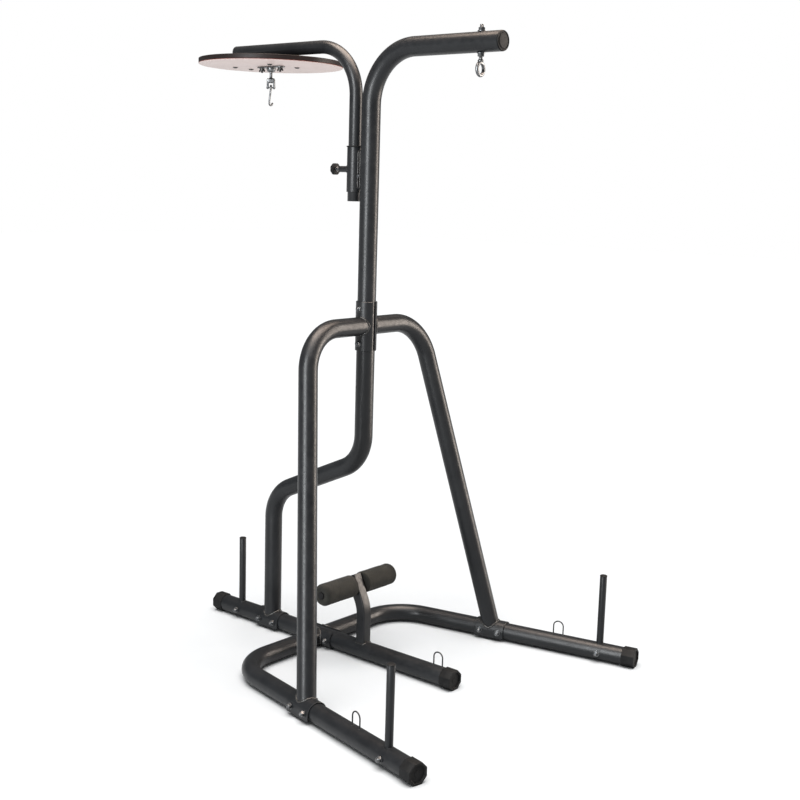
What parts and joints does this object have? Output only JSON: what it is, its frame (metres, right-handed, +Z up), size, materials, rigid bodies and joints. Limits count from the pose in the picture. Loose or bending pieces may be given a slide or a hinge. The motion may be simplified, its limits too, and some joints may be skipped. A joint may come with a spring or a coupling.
{
  "type": "boxing bag stand",
  "caption": "Free-standing boxing stand: heavy-bag arm with eye bolt, height-adjustable round speed-bag platform, plate pegs, band loops and a foam roller on a splayed tube base.",
  "frame": {"origin": "on the floor, under the middle of the stand's bounding box", "axes": "+Z up; +X towards the heavy-bag arm and the splayed legs; the stand mirrors about Y = 0"},
  "size_m": [1.5214, 1.2854, 2.1562],
  "materials": {
    "powder_coat": "satin charcoal powder coat with a fine texture",
    "zinc_plate": "bright zinc plate",
    "dark_steel": "dark oiled steel",
    "black_plastic": "moulded black plastic, lightly grained",
    "foam": "closed-cell black foam with a fine skin",
    "board": "laminated board: pale satin underside, dark stained edge and top"
  },
  "bodies": {
    "stand": {"base_leg_near": "powder_coat", "cross_saddle_near": "powder_coat", "a_foot_saddle_near": "powder_coat", "a_foot_bolt_near_rear": "zinc_plate", "a_foot_bolt_near_front": "zinc_plate", "weight_peg_near": "powder_coat", "weight_peg_near_bolt": "zinc_plate", "band_loop_near": "powder_coat", "end_cap_near": "black_plastic", "base_leg_far": "powder_coat", "cross_saddle_far": "powder_coat", "a_foot_saddle_far": "powder_coat", "a_foot_bolt_far_rear": "zinc_plate", "a_foot_bolt_far_front": "zinc_plate", "weight_peg_far": "powder_coat", "weight_peg_far_bolt": "zinc_plate", "band_loop_far": "powder_coat", "end_cap_far": "black_plastic", "centre_tube": "powder_coat", "weight_peg_rear": "powder_coat", "weight_peg_rear_bolt": "zinc_plate", "post_foot_saddle": "powder_coat", "post_foot_bolt_rear": "zinc_plate", "post_foot_bolt_front": "zinc_plate", "band_loop_centre": "powder_coat", "end_cap_rear": "black_plastic", "end_cap_centre": "black_plastic", "cross_bolt_rear": "zinc_plate", "cross_bolt_front": "zinc_plate", "lower_post": "powder_coat", "upper_post_arm": "powder_coat", "post_link_tube": "zinc_plate", "a_leg_near": "powder_coat", "a_leg_far": "powder_coat", "clamp_half_near": "powder_coat", "clamp_half_far": "powder_coat", "clamp_bolt_low": "zinc_plate", "clamp_bolt_high": "zinc_plate", "eye_bolt": "zinc_plate", "eye_nut_top": "zinc_plate", "eye_nut_low": "zinc_plate", "arm_end_plug": "black_plastic", "arm_sleeve": "powder_coat", "roller_strut": "powder_coat", "roller_axle": "dark_steel"},
    "arm_bushing": {"arm_bushing": "black_plastic"},
    "speed_arm": {"speed_arm": "powder_coat", "speed_arm_plug": "black_plastic", "platform_plate": "powder_coat", "platform_board": "board", "wing_nut_rear": "dark_steel", "wing_nut_front": "dark_steel", "swivel_plate": "zinc_plate"},
    "lock_screw": {"lock_knob": "black_plastic"},
    "swivel": {"swivel_fork": "zinc_plate"},
    "hook": {"speed_bag_hook": "zinc_plate"},
    "foam_near": {"foam_roll_near": "foam"},
    "foam_far": {"foam_roll_far": "foam"}
  },
  "joints": [
    {"name": "arm_swing", "type": "hinge", "parent": "stand", "child": "arm_bushing", "pos_m": [-0.09007, 0, 1.786], "axis": [0, 0, 1], "range_deg": [-90, 90]},
    {"name": "arm_height", "type": "slide", "parent": "arm_bushing", "child": "speed_arm", "axis": [0, 0, 1], "range_m": [-0.15, 0.06]},
    {"name": "lock_turn", "type": "hinge", "parent": "stand", "child": "lock_screw", "pos_m": [-0.17207, 0, 1.713], "axis": [1, 0, 0], "continuous": true},
    {"name": "swivel_spin", "type": "hinge", "parent": "speed_arm", "child": "swivel", "pos_m": [-0.49907, 0, 2.06165], "axis": [0, 0, 1], "continuous": true},
    {"name": "hook_swing", "type": "hinge", "parent": "swivel", "child": "hook", "pos_m": [-0.49907, 0, 1.99315], "axis": [0.766, 0.6428, 0], "range_deg": [-75, 75]},
    {"name": "foam_spin_near", "type": "hinge", "parent": "stand", "child": "foam_near", "pos_m": [-0.03707, -0.1, 0.266], "axis": [0, 1, 0], "continuous": true},
    {"name": "foam_spin_far", "type": "hinge", "parent": "stand", "child": "foam_far", "pos_m": [-0.03707, 0.1, 0.266], "axis": [0, 1, 0], "continuous": true}
  ]
}
